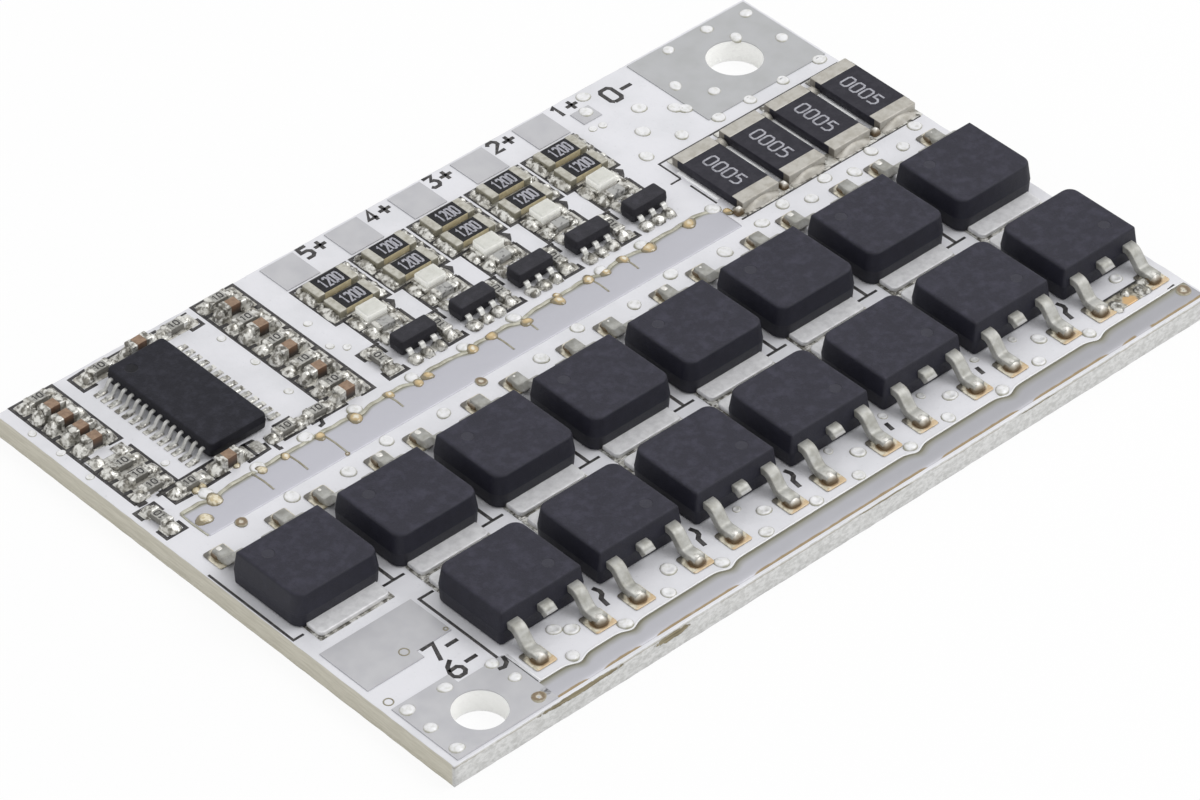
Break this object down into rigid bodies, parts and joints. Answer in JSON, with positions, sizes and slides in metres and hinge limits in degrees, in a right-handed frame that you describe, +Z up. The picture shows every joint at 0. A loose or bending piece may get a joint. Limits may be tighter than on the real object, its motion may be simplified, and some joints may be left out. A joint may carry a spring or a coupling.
{
  "type": "battery management board",
  "caption": "White circuit board with rows of power transistors, a controller, current shunts and balance resistors, which switches and balances a battery pack.",
  "frame": {"origin": "middle of the board's underside", "axes": "+X along the long edge, +Y towards the edge with the battery pads, +Z up from the underside to the components"},
  "size_m": [0.0606, 0.0406, 0.004],
  "materials": {
    "solder_mask": "white solder mask, satin",
    "tinned_copper": "tinned copper, dull",
    "tinned_lead": "matt tin plating",
    "moulding_compound": "charcoal moulding compound, matt",
    "black_glaze": "black coat over ceramic",
    "capacitor_ceramic": "brown sintered ceramic",
    "lamp_base": "white ceramic",
    "lamp_lens": "milky cast resin"
  },
  "bodies": {
    "root": {"battery_pads": "tinned_copper", "bleed_resistor_bodies": "black_glaze", "bleed_resistor_ends": "tinned_lead", "capacitor_bodies": "capacitor_ceramic", "capacitor_ends": "tinned_lead", "circuit_board": "solder_mask", "component_pads": "tinned_copper", "controller_body": "moulding_compound", "controller_pads": "tinned_copper", "controller_pins": "tinned_lead", "far_corner_pad": "tinned_copper", "front_bus_strip": "tinned_copper", "lamp_bases": "lamp_base", "lamp_ends": "tinned_lead", "lamp_lenses": "lamp_lens", "middle_bus_strip": "tinned_copper", "near_corner_pad": "tinned_copper", "output_pad": "tinned_copper", "shunt_body_1": "black_glaze", "shunt_body_2": "black_glaze", "shunt_body_3": "black_glaze", "shunt_body_4": "black_glaze", "shunt_ends": "tinned_lead", "small_resistor_bodies": "black_glaze", "small_resistor_ends": "tinned_lead", "switch_bodies": "moulding_compound", "switch_pins": "tinned_lead", "transistor_body_1": "moulding_compound", "transistor_body_10": "moulding_compound", "transistor_body_11": "moulding_compound", "transistor_body_12": "moulding_compound", "transistor_body_13": "moulding_compound", "transistor_body_14": "moulding_compound", "transistor_body_15": "moulding_compound", "transistor_body_2": "moulding_compound", "transistor_body_3": "moulding_compound", "transistor_body_4": "moulding_compound", "transistor_body_5": "moulding_compound", "transistor_body_6": "moulding_compound", "transistor_body_7": "moulding_compound", "transistor_body_8": "moulding_compound", "transistor_body_9": "moulding_compound", "transistor_frame_1": "tinned_lead", "transistor_frame_10": "tinned_lead", "transistor_frame_11": "tinned_lead", "transistor_frame_12": "tinned_lead", "transistor_frame_13": "tinned_lead", "transistor_frame_14": "tinned_lead", "transistor_frame_15": "tinned_lead", "transistor_frame_2": "tinned_lead", "transistor_frame_3": "tinned_lead", "transistor_frame_4": "tinned_lead", "transistor_frame_5": "tinned_lead", "transistor_frame_6": "tinned_lead", "transistor_frame_7": "tinned_lead", "transistor_frame_8": "tinned_lead", "transistor_frame_9": "tinned_lead", "transistor_pads": "tinned_copper"}
  },
  "joints": []
}
